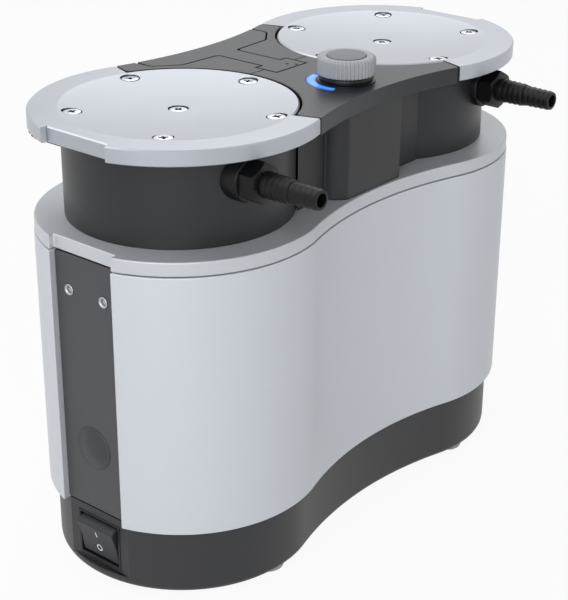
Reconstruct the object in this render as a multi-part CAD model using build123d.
"""Two-head diaphragm vacuum pump, bench-top size, one STEP file per named piece.

Frame, in millimetres: the origin is on the floor midway between the four feet, +X runs along the
long axis from the switch end to the mains-inlet end, +Z is up, and the hose connectors point to -Y.
"""
from build123d import *
import os
from math import cos, hypot, pi, radians, sin, sqrt

os.makedirs("parts", exist_ok=True)

# ---- driving dimensions (mm) ----
HEAD_X = 74.0          # each pump head's axis stands this far from the middle
TOP_Z = 215.4          # top of the lids and of the top cover

FOOT_R, FOOT_DROP = 8.0, 3.5
FOOT_X, FOOT_Y = 74.0, 50.5
FOOT_SEAT = 1.5                        # the feet are set this deep into the base
VENT_COUNT, VENT_PITCH = 4, 28.0       # slots in the underside

BASE_R, BASE_WAIST = 61.4, 50.5        # outline of the base: end radius and half width at the waist
BASE_TOP, BASE_LIP = 36.7, 41.0
BASE_WALL = 2.6
SHELL_R, SHELL_WAIST, SHELL_WALL = 65.15, 53.4, 2.5
SHELL_TOP = 160.4
COLLAR_R, COLLAR_WAIST = 64.8, 53.1
COLLAR_BOTTOM, DECK_TOP = 160.8, 167.3
PANEL_X = 133.3                        # plane of the end panels
PANEL_HALF = 18.55                     # half width of the gap between the shells that a panel fills
PANEL_BOTTOM, PANEL_THICK = 38.1, 2.4
PANEL_SHELF = 37.1                     # the base's lip is cut down to this under each end panel
RECESS_X, RECESS_HALF, RECESS_FLOOR = 132.6, 18.3, 8.2

INSERT_GAP, INSERT_Z = 20.9, 143.6     # two threaded inserts in the switch-end panel
INSERT_R, INSERT_HOLE_R = 2.9, 1.65
PLUG_R, PLUG_Z = 10.3, 69.4

SWITCH_W, SWITCH_H, SWITCH_Z = 26.5, 23.4, 21.45
ROCKER_X, ROCKER_SWING, ROCKER_PIN_R = -129.6, 26.0, 1.2   # the rocker's axis and travel
INLET_Z = 23.0
INLET_FLANGE_HALF, INLET_FLANGE_UP = 15.0, 12.0

SHROUD_R, SHROUD_WALL = 51.4, 2.5
LID_R, LID_THICK, DISC_R, DISH_DEPTH = 65.2, 7.0, 52.6, 3.1
LID_NOTCH_X, LID_NOTCH_HALF = 133.7, 18.95
LID_SECTOR = 70.5                      # the rim stops this many degrees from the line to the middle
SCREW_CIRCLE, SCREW_COUNT = 46.06, 5
SCREW_HEAD_R, SCREW_R = 4.2, 2.0
COVER_WAIST = 53.8
COVER_GAP = 0.9                        # shadow gap between the cover and the lids
COVER_SKIRT, COVER_PLATE = 7.8, 2.6
SEAM_Y = 5.0                           # the cover is made in a front and a rear part

CORE_HALF_Y, BAY_Y = 43.0, 52.0        # front of the block between the heads, and of its bay

PORT_X, PORT_Z = 88.0, 196.3           # hose connector axis
BORE_R, SHANK_R, PORT_HOLE_R = 3.0, 5.5, 6.5
FLANGE_R, FLANGE_Y, HEX_FLATS, HEX_Y, TIP_Y = 9.9, -54.2, 16.4, -62.2, -91.0
SHANK_Y = -31.0                        # the connector's shank reaches in to here
BARB_RIDGES = 10
BALLAST_SEAT_Y, BALLAST_TIP_Y, BALLAST_R = 52.0, 73.0, 10.0
KNOB_Y, KNOB_R, KNOB_CAP_R, KNOB_RIBS = -34.5, 13.4, 9.2, 36
LIGHT_R, LIGHT_FROM, LIGHT_TO = (13.6, 17.9), 108.0, 205.0

LINK_Y, LINK_Z, LINK_R = 16.0, 199.5, 3.2     # tube that joins the heads

SHAFT_Z, SHAFT_R, THROW = 92.0, 6.0, 2.0      # motor shaft, and the eccentrics' throw
JOURNAL_R, RUNNING = 9.0, 0.05                # eccentric journal, and radial running clearance
BEARING_R = 13.0
CRANK_R, CRANK_WALL = 37.0, 4.0
DIAPHRAGM_Z, DIAPHRAGM_R = 171.0, 44.0
CLAMP_R = 20.0
VALVE_Z, VALVE_THICK = 189.0, 1.5               # plate with the reed valves
VALVE_Y = (-12.0, 12.0)                         # inlet and outlet valve

HINGE_Y, HINGE_Z, HINGE_R = 0.7, TOP_Z - 2.8, 1.5    # carry handle's pin
HANDLE_GAP = 0.55                                    # clearance round the folded handle
SIDES = {"left": -1, "right": 1}                # the left head stands over the switch end


# ---- shared shapes ----
def peanut(r, waist):
    """Two end circles of radius r joined by concave arcs that leave a half width of waist."""
    arc_r = (HEAD_X**2 + waist**2 - r**2) / (2 * (r - waist))
    centre_y = waist + arc_r
    tx = HEAD_X - HEAD_X * r / (r + arc_r)
    ty = centre_y * r / (r + arc_r)
    edges = [
        ThreePointArc((tx, -ty), (HEAD_X + r, 0), (tx, ty)),
        ThreePointArc((tx, ty), (0, waist), (-tx, ty)),
        ThreePointArc((-tx, ty), (-HEAD_X - r, 0), (-tx, -ty)),
        ThreePointArc((-tx, -ty), (0, -waist), (tx, -ty)),
    ]
    return make_face(edges)


def prism(sketch, z0, z1):
    """The sketch swept straight up from z0 to z1."""
    return extrude(Pos(0, 0, z0) * sketch, z1 - z0)


def block(x0, x1, y0, y1, z0, z1):
    """A box given by its limits."""
    return Pos((x0 + x1) / 2, (y0 + y1) / 2, (z0 + z1) / 2) * Box(x1 - x0, y1 - y0, z1 - z0)


def rod_z(x, y, z0, z1, r):
    """A cylinder along Z."""
    return Pos(x, y, (z0 + z1) / 2) * Cylinder(r, z1 - z0)


def rod_x(y, z, x0, x1, r):
    """A cylinder along X."""
    return Pos((x0 + x1) / 2, y, z) * Rot(0, 90, 0) * Cylinder(r, abs(x1 - x0))


def rod_y(x, z, y0, y1, r):
    """A cylinder along Y."""
    return Pos(x, (y0 + y1) / 2, z) * Rot(90, 0, 0) * Cylinder(r, abs(y1 - y0))


def end_block(end, x0, x1, half, z0, z1):
    """A box between distances x0 and x1 from the middle, at one end of the pump."""
    near, far = sorted((end * x0, end * x1))
    return block(near, far, -half, half, z0, z1)


def end_notches(plane_x, half, z0, z1):
    """The two boxes that flatten an outline's ends at plane_x."""
    return [end_block(end, plane_x, plane_x + 12, half, z0, z1) for end in (-1, 1)]


def top_edges(part, z):
    """The edges that lie flat at height z."""
    return part.edges().filter_by_position(Axis.Z, z - 0.01, z + 0.01)


def save(name, part):
    """Write one node."""
    part.label = name
    export_step(part, f"parts/{name}.step")


# ---- base ----
def base_tray():
    """The dark tray: rounded lower edge, flat-backed recess at each end, lip inside the shell."""
    outside = prism(peanut(BASE_R, BASE_WAIST), FOOT_DROP, BASE_LIP)
    outside = fillet(top_edges(outside, FOOT_DROP), 2.2)
    for notch in end_notches(RECESS_X, RECESS_HALF, RECESS_FLOOR, BASE_LIP):
        outside -= notch
    inside = prism(peanut(BASE_R - BASE_WALL, BASE_WAIST - BASE_WALL), FOOT_DROP + 3, BASE_LIP)
    keep = RECESS_X - BASE_WALL
    inside &= block(-keep, keep, -100, 100, 0, BASE_LIP)
    tray = outside - inside
    for end in (-1, 1):
        tray -= end_block(end, keep - 1, keep + 20, PANEL_HALF, PANEL_SHELF, BASE_LIP)
    for x, y in foot_places():
        tray -= rod_z(x, y, FOOT_DROP, FOOT_DROP + FOOT_SEAT, FOOT_R)
    tray -= end_block(-1, RECESS_X - 6, RECESS_X + 5, SWITCH_W / 2,
                      SWITCH_Z - SWITCH_H / 2, SWITCH_Z + SWITCH_H / 2)
    tray -= end_block(1, RECESS_X - 6, RECESS_X + 5, INLET_FLANGE_HALF,
                      INLET_Z - INLET_FLANGE_UP, INLET_Z + INLET_FLANGE_UP)
    for i in range(VENT_COUNT):
        x = VENT_PITCH * (i - (VENT_COUNT - 1) / 2)
        tray -= Pos(x, 0, FOOT_DROP + 2) * Box(3, 46, 8)
    return tray


def foot_places():
    """The four feet, seen from above."""
    return [(x, y) for x in (-FOOT_X, FOOT_X) for y in (-FOOT_Y, FOOT_Y)]


def feet():
    """Four soft feet, each seated in a round pocket of the underside."""
    pads = [rod_z(x, y, 0, FOOT_DROP + FOOT_SEAT, FOOT_R) for x, y in foot_places()]
    return Compound([chamfer(top_edges(pad, 0), 0.8) for pad in pads])


# ---- outer skins ----
def side_shell(side):
    """Half of the peanut-shaped skin, with returns that the end panels seat against."""
    ring = prism(peanut(SHELL_R, SHELL_WAIST), BASE_TOP, SHELL_TOP)
    ring -= prism(peanut(SHELL_R - SHELL_WALL, SHELL_WAIST - SHELL_WALL), BASE_TOP, SHELL_TOP)
    y0, y1 = sorted((side * PANEL_HALF, side * 100))
    skin = ring & block(-200, 200, y0, y1, 0, 300)
    seat = PANEL_X - PANEL_THICK
    ya, yb = sorted((side * PANEL_HALF, side * (PANEL_HALF + SHELL_WALL)))
    for end in (-1, 1):
        x0, x1 = sorted((end * (seat - 5), end * (PANEL_X + 1.5)))
        skin += block(x0, x1, ya, yb, BASE_LIP + 0.4, SHELL_TOP)
    return skin


def end_panel():
    """A flat panel with a back rib down each side."""
    half = PANEL_HALF - 0.15
    panel = block(-PANEL_X, -PANEL_X + PANEL_THICK, -half, half, PANEL_BOTTOM, SHELL_TOP - 0.3)
    for y in (-half + 1, half - 3):
        panel += block(-PANEL_X + PANEL_THICK, -PANEL_X + 6, y, y + 2, PANEL_BOTTOM + 6, SHELL_TOP - 3)
    return panel


def end_panel_switch():
    """The panel over the switch, bored for two inserts and a plug."""
    panel = end_panel()
    for y in (-INSERT_GAP / 2, INSERT_GAP / 2):
        panel -= rod_x(y, INSERT_Z, -PANEL_X, -PANEL_X + PANEL_THICK, INSERT_R)
    return panel - rod_x(0, PLUG_Z, -PANEL_X, -PANEL_X + PANEL_THICK, PLUG_R - 2.5)


def end_panel_inlet():
    """The panel over the mains inlet, with a field of cooling slots."""
    panel = Rot(0, 0, 180) * end_panel()
    for row in range(9):
        z = 72 + 8.0 * row
        slot = Pos(0, 0, z) * Rot(0, 90, 0) * extrude(SlotOverall(26, 3.2, rotation=90), 8)
        panel -= Pos(PANEL_X - 4, 0, 0) * slot
    return panel


def panel_inserts():
    """Two threaded metal bushes moulded into the panel."""
    made = []
    for y in (-INSERT_GAP / 2, INSERT_GAP / 2):
        bush = rod_x(y, INSERT_Z, -PANEL_X - 0.3, -PANEL_X + 9, INSERT_R)
        made.append(bush - rod_x(y, INSERT_Z, -PANEL_X - 0.3, -PANEL_X + 9, INSERT_HOLE_R))
    return Compound(made)


def panel_plug():
    """A domed blanking plug with a ribbed shank."""
    rise = 2.4
    ball_r = (PLUG_R**2 + rise**2) / (2 * rise)
    dome = Pos(-PANEL_X - rise + ball_r, 0, PLUG_Z) * Sphere(ball_r)
    dome &= block(-PANEL_X - rise, -PANEL_X, -PLUG_R, PLUG_R, PLUG_Z - PLUG_R, PLUG_Z + PLUG_R)
    shank = rod_x(0, PLUG_Z, -PANEL_X, -PANEL_X + PANEL_THICK + 2, PLUG_R - 2.5)
    shank -= rod_x(0, PLUG_Z, -PANEL_X + 1.5, -PANEL_X + PANEL_THICK + 2, PLUG_R - 4)
    return dome + shank


def deck_collar():
    """The ring-shaped deck between the skins and the heads, with a lip inside the skins."""
    deck = prism(peanut(COLLAR_R, COLLAR_WAIST), COLLAR_BOTTOM, DECK_TOP)
    for notch in end_notches(PANEL_X - 0.3, PANEL_HALF, COLLAR_BOTTOM, DECK_TOP):
        deck -= notch
    deck = chamfer(top_edges(deck, DECK_TOP), 0.6)
    cavity = prism(peanut(COLLAR_R - 5.2, COLLAR_WAIST - 5.2), COLLAR_BOTTOM, DECK_TOP - 3)
    deck -= cavity & block(-PANEL_X + 3, PANEL_X - 3, -100, 100, 0, 300)
    lip_out = peanut(SHELL_R - SHELL_WALL - 0.35, SHELL_WAIST - SHELL_WALL - 0.35)
    lip_in = peanut(COLLAR_R - 5.2, COLLAR_WAIST - 5.2)
    lip = prism(lip_out - lip_in, COLLAR_BOTTOM - 5, COLLAR_BOTTOM)
    seat = PANEL_X - PANEL_THICK - 5.6
    deck += lip & block(-seat, seat, -100, 100, 0, 300)
    for s in (-1, 1):
        deck -= rod_z(s * HEAD_X, 0, DECK_TOP - 4, DECK_TOP, SHROUD_R - 3.4)
    return deck - block(-27, 27, -36, 36, DECK_TOP - 4, DECK_TOP)


# ---- switch and mains inlet ----
def switch_frame():
    """The switch's thin bezel and its rear housing, bored for the rocker's pins."""
    y, z = SWITCH_W / 2, SWITCH_H / 2
    front = -RECESS_X - 0.3
    side_wall, top_wall = 1.6, 1.4
    frame = block(front, -RECESS_X + 16, -y, y, SWITCH_Z - z, SWITCH_Z + z)
    frame -= block(front, -RECESS_X + 13, -y + side_wall, y - side_wall,
                   SWITCH_Z - z + top_wall, SWITCH_Z + z - top_wall)
    return frame - rod_y(ROCKER_X, SWITCH_Z, -y, y, ROCKER_PIN_R + RUNNING)


def switch_rocker():
    """The rocker with its lower end pressed in: a shallow V across the front, and a pin at each side."""
    half = SWITCH_W / 2 - 2.0
    outline = [(-5.0, -9.0), (-4.1, 0), (-5.0, 9.0), (-1.0, 8.2), (3.0, 5.0), (3.0, -5.0), (-1.0, -8.2)]
    face = Plane.XZ * make_face(Polyline(outline, close=True))
    rocker = Pos(0, half, 0) * extrude(face, 2 * half)
    rocker += rod_y(0, 0, -half - 1.3, half + 1.3, ROCKER_PIN_R)
    return Pos(ROCKER_X, 0, SWITCH_Z) * Rot(0, -ROCKER_SWING / 2, 0) * rocker


def power_inlet():
    """A three-pin mains inlet with a drawer below its socket, set in the inlet-end recess."""
    body = block(RECESS_X - 20, RECESS_X, -13.6, 13.6, INLET_Z - 11.5, INLET_Z + 11.5)
    body += end_block(1, RECESS_X - 0.01, RECESS_X + 1.8, INLET_FLANGE_HALF,
                      INLET_Z - INLET_FLANGE_UP, INLET_Z + INLET_FLANGE_UP)
    socket = block(RECESS_X - 16, RECESS_X + 1.8, -12, 12, INLET_Z - 6, INLET_Z + 10)
    return body - socket - block(RECESS_X - 14, RECESS_X + 1.8, -8, 8, INLET_Z - 11, INLET_Z - 7.2)


def inlet_pins():
    """Three flat contact pins."""
    made = []
    for y, z in ((-7, 1), (0, 5), (7, 1)):
        made.append(block(RECESS_X - 16, RECESS_X - 1, y - 1, y + 1, INLET_Z + z - 2, INLET_Z + z + 2))
    return Compound(made)


def fuse_drawer():
    """The pull-out fuse drawer under the socket."""
    drawer = block(RECESS_X - 13, RECESS_X + 1.6, -7.8, 7.8, INLET_Z - 10.9, INLET_Z - 7.4)
    return drawer + block(RECESS_X + 1.6, RECESS_X + 2.6, -3, 3, INLET_Z - 10.2, INLET_Z - 8.2)


# ---- heads ----
def head_shroud(side):
    """The dark cylinder round a head, bored for the hose connector, the link tube and the ballast valve."""
    x = side * HEAD_X
    inside = SHROUD_R - SHROUD_WALL
    shroud = rod_z(x, 0, DECK_TOP, TOP_Z - LID_THICK, SHROUD_R)
    if side < 0:
        shroud += rod_y(-PORT_X, PORT_Z, 40, BALLAST_SEAT_Y, 9.4)
        shroud -= rod_y(-PORT_X, PORT_Z, 40, BALLAST_SEAT_Y, 5.5)
    shroud -= rod_z(x, 0, DECK_TOP, TOP_Z - LID_THICK, inside)
    shroud -= rod_y(side * PORT_X, PORT_Z, -SHROUD_R - 1, -40, PORT_HOLE_R)
    return shroud - rod_x(LINK_Y, LINK_Z, side * 20, side * 40, LINK_R + 0.3)


def lid_outline(r, disc_r, notch_x):
    """A lid seen from above: a disc, and a rim that leaves room for the cover, in the left place."""
    reach = 2 * r
    far = (reach * cos(radians(LID_SECTOR)), reach * sin(radians(LID_SECTOR)))
    wedge = make_face(Polyline([(0, 0), far, (2 * reach, 0), (far[0], -far[1])], close=True))
    rim = Circle(r) - wedge
    outline = Pos(-HEAD_X, 0) * (rim + Circle(disc_r))
    return outline - Pos(-notch_x - 10, 0) * Rectangle(20, 2 * LID_NOTCH_HALF)


def screw_spots():
    """The screws' places on a lid, from its centre: a ring of five, and one in the middle."""
    step = 360 / SCREW_COUNT
    ring = [(SCREW_CIRCLE * cos(radians(i * step)), SCREW_CIRCLE * sin(radians(i * step)))
            for i in range(SCREW_COUNT)]
    return ring + [(0, 0)]


def dish_drop(x, y):
    """How far the dished top of a lid lies below its rim."""
    ball_r = (DISC_R**2 + DISH_DEPTH**2) / (2 * DISH_DEPTH)
    return DISH_DEPTH - ball_r + sqrt(ball_r**2 - x**2 - y**2)


def place_head(side, part):
    """Turn a piece made in the left head's place into the right head's place."""
    return part if side < 0 else Rot(0, 0, 180) * part


def head_plate(side):
    """A thick lid with a dished disc, a flattened end and countersunk holes."""
    lid = prism(lid_outline(LID_R, DISC_R, LID_NOTCH_X), TOP_Z - LID_THICK, TOP_Z)
    rim = [e for e in top_edges(lid, TOP_Z) if hypot(e.center().X + HEAD_X, e.center().Y) > 20]
    lid = chamfer(rim, 0.5)
    ball_r = (DISC_R**2 + DISH_DEPTH**2) / (2 * DISH_DEPTH)
    lid -= Pos(-HEAD_X, 0, TOP_Z - DISH_DEPTH + ball_r) * Sphere(ball_r)
    for x, y in screw_spots():
        z = TOP_Z - dish_drop(x, y)
        lid -= rod_z(x - HEAD_X, y, z - 3.0, z + 2, SCREW_HEAD_R + 0.4)
        lid -= rod_z(x - HEAD_X, y, TOP_Z - LID_THICK, z - 2, SCREW_R + 0.2)
    return place_head(side, lid)


def lid_screws(side):
    """Six screws with flat heads sunk flush in the lid."""
    made = []
    for x, y in screw_spots():
        z = TOP_Z - dish_drop(x, y) - 0.35
        screw = rod_z(x - HEAD_X, y, z - 2.4, z, SCREW_HEAD_R)
        screw += rod_z(x - HEAD_X, y, z - 19, z - 2.4, SCREW_R)
        made.append(place_head(side, screw - rod_z(x - HEAD_X, y, z - 1.4, z, 1.7)))
    return Compound(made)


# ---- inside each head ----
def crankcase(side):
    """The cast housing that carries the head and holds a shaft bearing."""
    x = side * HEAD_X
    body = rod_z(x, 0, 14, 152, CRANK_R) + rod_z(x, 0, 152, DIAPHRAGM_Z, DIAPHRAGM_R)
    cavity = rod_z(x, 0, 10, 152, CRANK_R - CRANK_WALL) + rod_z(x, 0, 152, DIAPHRAGM_Z, CRANK_R - 1)
    inner = HEAD_X - CRANK_R
    boss = rod_x(0, SHAFT_Z, side * (inner - 1.5), side * (inner + 12), 17)
    body = body + boss - (cavity - boss)
    body -= rod_x(0, SHAFT_Z, side * (inner - 1.5), side * (inner + 12), BEARING_R)
    for angle in range(4):
        turned = 45 + 90 * angle
        ribbed = Pos(x, 0, 0) * Rot(0, 0, turned) * block(CRANK_R - 1, DIAPHRAGM_R - 1, -1.5, 1.5, 120, 152)
        body += ribbed
    window = Pos(x, 0, 30) * Box(120, 30, 24) + Pos(x, 0, 30) * Box(30, 120, 24)
    return body - window


def isolators():
    """Rubber rings that stand the crankcases on the base."""
    made = []
    for s in (-1, 1):
        ring = rod_z(s * HEAD_X, 0, FOOT_DROP + 3, 14, CRANK_R)
        made.append(ring - rod_z(s * HEAD_X, 0, 0, 14, CRANK_R - CRANK_WALL))
    return Compound(made)


def shaft_bearings():
    """A ball bearing at each end of the motor, drawn as one ring each."""
    made = []
    inner = HEAD_X - CRANK_R
    for s in (-1, 1):
        ring = rod_x(0, SHAFT_Z, s * (inner + 1), s * (inner + 11), BEARING_R)
        made.append(ring - rod_x(0, SHAFT_Z, s * (inner + 1), s * (inner + 11), SHAFT_R + RUNNING))
    return Compound(made)


def motor_stator():
    """The motor's laminated stator and its end bells."""
    stator = rod_x(0, SHAFT_Z, -28, 28, 42)
    stator -= rod_x(0, SHAFT_Z, -24, 24, 25.5)
    stator -= rod_x(0, SHAFT_Z, -28, 28, SHAFT_R + 3)
    for i in range(12):
        turned = Pos(0, 0, SHAFT_Z) * Rot(30 * i, 0, 0) * Pos(0, 0, 42) * Box(40, 3, 4)
        stator -= turned
    foot = block(-20, 20, -16, 16, FOOT_DROP + 3, SHAFT_Z - 41)
    return stator + (foot - block(-20, 20, -11, 11, FOOT_DROP + 3, SHAFT_Z - 46))


def motor_shaft():
    """The double-ended shaft with its rotor pack."""
    end = HEAD_X + 12
    return rod_x(0, SHAFT_Z, -end, end, SHAFT_R) + rod_x(0, SHAFT_Z, -23, 23, 25.0)


def cooling_fan():
    """A fan wheel on the shaft, between the motor and the right crankcase."""
    fan = rod_x(0, SHAFT_Z, 29.5, 34.5, 11) + rod_x(0, SHAFT_Z, 29.5, 31, 34)
    for i in range(9):
        blade = Pos(32.5, 0, SHAFT_Z) * Rot(40 * i, 0, 0) * Pos(0, 0, 21) * Rot(0, 0, 24) * Box(4, 1.4, 24)
        fan += blade
    fan &= rod_x(0, SHAFT_Z, 29.5, 34.5, 34)
    return fan - rod_x(0, SHAFT_Z, 29.5, 34.5, SHAFT_R)


def eccentric(side):
    """An eccentric journal with its balance weight, pressed on the shaft."""
    x = side * HEAD_X
    offset = -side * THROW
    body = rod_x(0, SHAFT_Z + offset, x - 6.5, x + 6.5, JOURNAL_R)
    x0, x1 = sorted((x - side * 6.5, x - side * 15))
    weight = rod_x(0, SHAFT_Z, x0, x1, 26)
    z0, z1 = sorted((SHAFT_Z, SHAFT_Z + side * 30))
    heavy = block(x0, x1, -30, 30, z0, z1)
    body += (weight & heavy) + rod_x(0, SHAFT_Z, x0, x1, 12)
    return body - rod_x(0, SHAFT_Z, x - 20, x + 20, SHAFT_R)


def rod_bearing(side):
    """The ring bearing in a connecting rod's big end."""
    x, z = side * HEAD_X, SHAFT_Z - side * THROW
    return rod_x(0, z, x - 5, x + 5, 14) - rod_x(0, z, x - 5, x + 5, JOURNAL_R + RUNNING)


def connecting_rod(side):
    """A forged rod: big end, waisted I-section shank and a round table under the diaphragm."""
    x, z = side * HEAD_X, SHAFT_Z - side * THROW
    table_z = DIAPHRAGM_Z - side * THROW
    rod = rod_x(0, z, x - 5, x + 5, 18)
    shank = make_face(Polyline([(-13, z), (-7, z + 34), (-6, table_z - 6), (6, table_z - 6), (7, z + 34),
                                (13, z)], close=True))
    rod += Pos(x - 5, 0, 0) * extrude(Plane.YZ * shank, 10)
    for s in (-1, 1):
        web = Pos(x + s * 5, 0, (z + table_z) / 2 + 4) * Box(5, 7, table_z - z - 44)
        rod -= web
    rod -= rod_x(0, z, x - 5, x + 5, 14)
    return rod + rod_z(x, 0, table_z - 6, table_z - 2, CLAMP_R) + rod_z(x, 0, table_z - 2, table_z + 4, 4)


def clamp_disc(side):
    """The disc that clamps the diaphragm to its rod."""
    x, z = side * HEAD_X, DIAPHRAGM_Z - side * THROW
    disc = rod_z(x, 0, z + 0.4, z + 4, CLAMP_R - 2)
    return chamfer(top_edges(disc, z + 4), 1.2) - rod_z(x, 0, z, z + 4, 4)


def diaphragm(side):
    """A moulded rubber disc, clamped at its rim and round the rod's stud, with one roll between."""
    x = side * HEAD_X
    dz = -side * THROW
    centre, rim = DIAPHRAGM_Z + dz, DIAPHRAGM_Z
    points = [(4, centre - 2), (CLAMP_R, centre - 2), (27, rim - 3.5), (35.5, rim), (DIAPHRAGM_R, rim),
              (DIAPHRAGM_R, rim + 2.2), (35.5, rim + 2.2), (27, rim - 1.3), (CLAMP_R, centre + 0.4),
              (4, centre + 0.4)]
    section = Plane.XZ * make_face(Polyline(points, close=True))
    return Pos(x, 0, 0) * revolve(section, Axis.Z)


def head_block(side):
    """The pressure plate over the diaphragm, hollowed to a shallow chamber, with two ports."""
    x = side * HEAD_X
    z0 = DIAPHRAGM_Z + 2.2
    ceiling = 181.0
    body = rod_z(x, 0, z0, VALVE_Z, DIAPHRAGM_R + 2)
    chamber = Cone(35, 26, 2 * (ceiling - z0), align=(Align.CENTER, Align.CENTER, Align.MIN))
    body -= (Pos(x, 0, z0) * chamber) & rod_z(x, 0, z0, ceiling, 40)
    for y in VALVE_Y:
        body -= rod_z(x, y, ceiling - 1, VALVE_Z, 4)
    return body


def valve_plate(side):
    """A thin plate with the two reed valves' openings."""
    x = side * HEAD_X
    plate = rod_z(x, 0, VALVE_Z, VALVE_Z + VALVE_THICK, DIAPHRAGM_R + 2)
    for y in VALVE_Y:
        slot = Cylinder(4.5, 3) - Cylinder(3.2, 3) - Pos(3, 0, 0) * Box(6, 2.4, 3)
        plate -= Pos(x, y, VALVE_Z + VALVE_THICK / 2) * slot
    return plate


def head_cap(side):
    """The port block under the lid: gas ways from the valves to the connector and the link tube."""
    x = side * HEAD_X
    cap = rod_z(x, 0, VALVE_Z + VALVE_THICK, TOP_Z - LID_THICK, DIAPHRAGM_R + 2)
    cap -= rod_y(side * PORT_X, PORT_Z, -46, -30, SHANK_R) + rod_y(side * PORT_X, PORT_Z, -46, -12, BORE_R)
    cap -= rod_x(LINK_Y, LINK_Z, side * 20, side * 48, LINK_R)
    if side < 0:
        cap -= rod_y(-PORT_X, PORT_Z, 34, 46, 5.0)
    for sx, sy in screw_spots():
        sign = 1 if side < 0 else -1
        cap -= rod_z(x + sign * sx, sign * sy, 192.5, TOP_Z - LID_THICK, SCREW_R)
    return cap


def link_tube():
    """The tube that joins the two heads in series."""
    end = 34
    tube = rod_x(LINK_Y, LINK_Z, -end, end, LINK_R)
    return tube - rod_x(LINK_Y, LINK_Z, -end, end, 2.0)


# ---- hose connectors and ballast valve ----
def hexagon_y(x, z, y0, y1, across):
    """A hexagonal bar along Y, from y0 down to y1, with its corners up and down."""
    bar = extrude(RegularPolygon(across / 2, 6, major_radius=False, rotation=30), y0 - y1)
    return Pos(x, y0, z) * Rot(90, 0, 0) * bar


def barb_profile(pitch):
    """Half the barb's section, (radius, distance from the hexagon): five large ridges, then five small."""
    points = [(0, 0)]
    for i in range(BARB_RIDGES):
        root, crest = (4.5, 5.2) if i < BARB_RIDGES / 2 else (3.8, 4.35)
        points += [(crest, i * pitch), (root, (i + 1) * pitch)]
    return points + [(0, BARB_RIDGES * pitch)]


def hose_connector(side):
    """A stepped hose barb with a hexagon, a flange shaped to the housing, and a threaded shank."""
    x = side * PORT_X
    flange = rod_y(x, PORT_Z, FLANGE_Y, -40, FLANGE_R)
    body = flange - rod_z(side * HEAD_X, 0, PORT_Z - 20, PORT_Z + 20, SHROUD_R)
    body += hexagon_y(x, PORT_Z, FLANGE_Y, HEX_Y, HEX_FLATS)
    body += rod_y(x, PORT_Z, SHANK_Y, FLANGE_Y, SHANK_R)
    barb = revolve(make_face(Polyline(barb_profile((HEX_Y - TIP_Y) / BARB_RIDGES), close=True)), Axis.Y)
    body += Pos(x, HEX_Y, PORT_Z) * Rot(180, 0, 0) * barb
    return body - rod_y(x, PORT_Z, SHANK_Y, TIP_Y, BORE_R)


def ribbed_disc(r, depth, count, height):
    """A round grip with straight ribs, standing on its own z = 0."""
    points = []
    step = 2 * pi / count
    for i in range(count):
        for share, reach in ((0.0, r), (0.42, r), (0.58, r - depth), (0.84, r - depth)):
            a = (i + share) * step
            points.append((reach * cos(a), reach * sin(a)))
    return extrude(make_face(Polyline(points, close=True)), height)


def ballast_valve():
    """The fixed seat of the gas-ballast valve at the back of the left head."""
    seat = rod_y(-PORT_X, PORT_Z, 34, BALLAST_SEAT_Y, 5.0)
    seat += rod_y(-PORT_X, PORT_Z, BALLAST_SEAT_Y, BALLAST_SEAT_Y + 5, 8.0)
    return seat + rod_y(-PORT_X, PORT_Z, BALLAST_SEAT_Y + 5, BALLAST_TIP_Y - 7, 4.0)


def ballast_knob():
    """The ribbed turning cap of the gas-ballast valve."""
    cap = Pos(-PORT_X, BALLAST_TIP_Y, PORT_Z) * Rot(90, 0, 0) * ribbed_disc(BALLAST_R, 0.8, 24, 15.4)
    return cap - rod_y(-PORT_X, PORT_Z, BALLAST_SEAT_Y + 5, BALLAST_TIP_Y - 6.4, 4.0 + RUNNING)


# ---- the block between the heads ----
def core_outline(inset):
    """The block's outline: flat sides between the heads and a bay with rounded shoulders."""
    r = 6.0
    front, back, bay = -CORE_HALF_Y, CORE_HALF_Y, -BAY_Y
    line = Polyline([(-50, front), (-28, front), (-27.5, front - 2.5), (-21, bay), (21, bay),
                     (27.5, front - 2.5), (28, front), (50, front), (50, back), (-50, back)], close=True)
    face = make_face(line)
    corners = [v for v in face.vertices() if abs(v.Y - bay) < 0.1]
    face = fillet(corners, r)
    face -= Pos(-HEAD_X, 0) * Circle(SHROUD_R + 0.4)
    face -= Pos(HEAD_X, 0) * Circle(SHROUD_R + 0.4)
    return offset(face, -inset) if inset else face


def centre_block():
    """The hollow block between the heads."""
    top = TOP_Z - COVER_SKIRT
    shell = prism(core_outline(0), DECK_TOP, top) - prism(core_outline(2.4), DECK_TOP, top)
    return shell - rod_x(LINK_Y, LINK_Z, -40, 40, LINK_R + 0.3)


def control_board():
    """The circuit board under the knob."""
    return block(-18, 18, -46, -6, 196, 197.6)


def speed_encoder():
    """The rotary control that the knob's spindle turns."""
    body = block(-6.5, 6.5, KNOB_Y - 6.5, KNOB_Y + 6.5, 197.6, 205) + rod_z(0, KNOB_Y, 205, 212, 5.0)
    return body - rod_z(0, KNOB_Y, 201, 212, 3.0 + RUNNING)


# ---- top cover, handle and knob ----
def cover_outline(grow):
    """The cover seen from above: the peanut between the lids, less a shadow gap."""
    outline = peanut(LID_R + grow, COVER_WAIST + grow)
    lid = lid_outline(LID_R + 3, DISC_R + COVER_GAP - grow, 200)
    shifted = Pos(COVER_GAP - grow, 0) * lid
    return outline - lid - shifted - Rot(0, 0, 180) * lid - Pos(-COVER_GAP + grow, 0) * Rot(0, 0, 180) * lid


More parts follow.
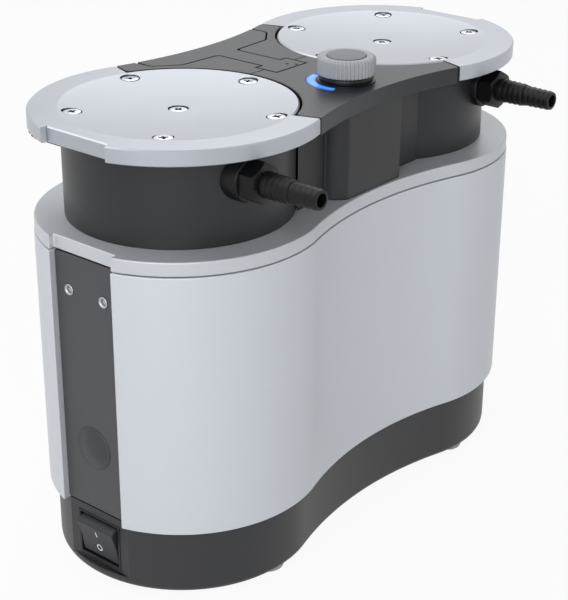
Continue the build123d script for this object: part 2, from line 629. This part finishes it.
def handle_outline(gap):
    """The T-shaped handle seen from above: grip along the rear edge, tongue and hinge pad."""
    half = [(0, -2.1), (10.4, -2.1), (10.4, 9.8), (6, 9.8), (6.6, 38), (30, 39.6), (40.6, 48), (41.4, 51),
            (39.5, 60), (0, 60)]
    both = half + [(-x, y) for x, y in reversed(half[1:-1])]
    face = make_face(Polyline(both, close=True))
    if gap:
        face = offset(face, gap, kind=Kind.INTERSECTION)
    return face


def cover_shell():
    """The whole cover: a plate with a skirt along its two free edges."""
    bottom = TOP_Z - COVER_SKIRT
    outline = cover_outline(0)
    shell = prism(outline, bottom, TOP_Z)
    inner = peanut(LID_R - 2.4, COVER_WAIST - 2.4)
    shell -= prism(inner, bottom, TOP_Z - COVER_PLATE)
    edge = [e for e in top_edges(shell, TOP_Z) if hypot(abs(e.center().X) - HEAD_X, e.center().Y) > 56]
    return chamfer(edge, 0.6)


def cover_front():
    """The front of the cover, bored for the knob and grooved for the status light."""
    part = cover_shell() & block(-100, 100, -100, SEAM_Y - 0.15, 0, 300)
    part -= prism(handle_outline(HANDLE_GAP), 0, 300)
    part -= rod_z(0, KNOB_Y, 200, TOP_Z, 6)
    for x0, x1 in ((-14, -11), (11, 14)):
        part += block(x0, x1, HINGE_Y - 3, HINGE_Y + 3, HINGE_Z - 3, TOP_Z - COVER_PLATE)
    part -= rod_x(HINGE_Y, HINGE_Z, -14, 14, HINGE_R)
    return part - status_light()


def cover_rear():
    """The rear of the cover, with the pocket that the folded handle lies in."""
    bottom = TOP_Z - COVER_SKIRT
    rear = block(-100, 100, SEAM_Y + 0.15, 100, 0, 300)
    pan = handle_outline(2.6) & cover_outline(0)
    pan = prism(pan, bottom, TOP_Z - COVER_PLATE) & prism(peanut(LID_R, COVER_WAIST), 0, 300)
    part = (cover_shell() + pan) & rear
    part -= prism(handle_outline(HANDLE_GAP), TOP_Z - 4.6, 300)
    return part - prism(handle_outline(HANDLE_GAP) & Pos(0, 57) * Rectangle(100, 20), bottom, 300)


def carry_handle():
    """The folding handle: a flat T with a turned-down finger edge along the grip."""
    bottom = TOP_Z - COVER_SKIRT
    flat = handle_outline(0) & peanut(LID_R, COVER_WAIST)
    grip = prism(flat, TOP_Z - 3.8, TOP_Z)
    edge = flat - peanut(LID_R - 3, COVER_WAIST - 3)
    grip += prism(edge, bottom, TOP_Z - 3.8)
    nose = rod_x(HINGE_Y, HINGE_Z, -10.4, 10.4, 2.8)
    grip = grip - block(-20, 20, -5, HINGE_Y, 0, 300) + nose
    return grip - rod_x(HINGE_Y, HINGE_Z, -10.4, 10.4, HINGE_R + RUNNING)


def handle_pin():
    """The steel pin that the handle swings on, held by two ears under the cover."""
    return rod_x(HINGE_Y, HINGE_Z, -14, 14, HINGE_R)


def knob_collar():
    """The black collar that the knob stands on."""
    ring = rod_z(0, KNOB_Y, TOP_Z, 218.4, 12.4)
    ring = chamfer(top_edges(ring, 218.4), 0.8)
    return ring - rod_z(0, KNOB_Y, TOP_Z, 219, 5.2)


def control_knob():
    """A ribbed knob with its spindle."""
    z0, z1 = 218.7, 227.0
    grip = Pos(0, KNOB_Y, z0) * ribbed_disc(KNOB_R, 0.7, KNOB_RIBS, z1 - z0)
    rounded = chamfer(top_edges(rod_z(0, KNOB_Y, z0, z1, KNOB_R), z1), 1.1)
    grip = grip & chamfer(top_edges(rounded, z0), 0.6)
    grip += rod_z(0, KNOB_Y, 203, z0, 3.0)
    return grip - rod_z(0, KNOB_Y, z1 - 2.0, z1, KNOB_CAP_R)


def knob_cap():
    """The plain disc set in the knob's top."""
    disc = rod_z(0, KNOB_Y, 225.0, 227.5, KNOB_CAP_R)
    return fillet(top_edges(disc, 227.5), 0.5)


def status_light():
    """A blue arc-shaped light guide set in the cover beside the knob."""
    inner, outer = LIGHT_R
    def at(r, a):
        return (r * cos(radians(a)), r * sin(radians(a)))
    mid = (LIGHT_FROM + LIGHT_TO) / 2
    edges = [
        ThreePointArc(at(outer, LIGHT_FROM), at(outer, mid), at(outer, LIGHT_TO)),
        Line(at(outer, LIGHT_TO), at(inner, LIGHT_TO)),
        ThreePointArc(at(inner, LIGHT_TO), at(inner, mid), at(inner, LIGHT_FROM)),
        Line(at(inner, LIGHT_FROM), at(outer, LIGHT_FROM)),
    ]
    return prism(Pos(0, KNOB_Y) * make_face(edges), TOP_Z - 2.6, TOP_Z)


# ---- write every node ----
def side_shell_front():
    """The skin on the hose side."""
    return side_shell(-1)


def side_shell_rear():
    """The skin behind."""
    return side_shell(1)


SINGLE = [
    base_tray, feet, side_shell_front, side_shell_rear, end_panel_switch, end_panel_inlet, panel_inserts,
    panel_plug, deck_collar, switch_frame, switch_rocker, power_inlet, inlet_pins, fuse_drawer,
    centre_block, control_board, speed_encoder, cover_front, cover_rear, carry_handle, handle_pin,
    knob_collar, control_knob, knob_cap, status_light, isolators, shaft_bearings, motor_stator,
    motor_shaft, cooling_fan, link_tube, ballast_valve, ballast_knob,
]
PER_HEAD = [
    head_shroud, head_plate, lid_screws, crankcase, eccentric, rod_bearing, connecting_rod,
    clamp_disc, diaphragm, head_block, valve_plate, head_cap, hose_connector,
]
for make in SINGLE:
    save(make.__name__, make())
for make in PER_HEAD:
    for word, side in SIDES.items():
        save(f"{make.__name__}_{word}", make(side))
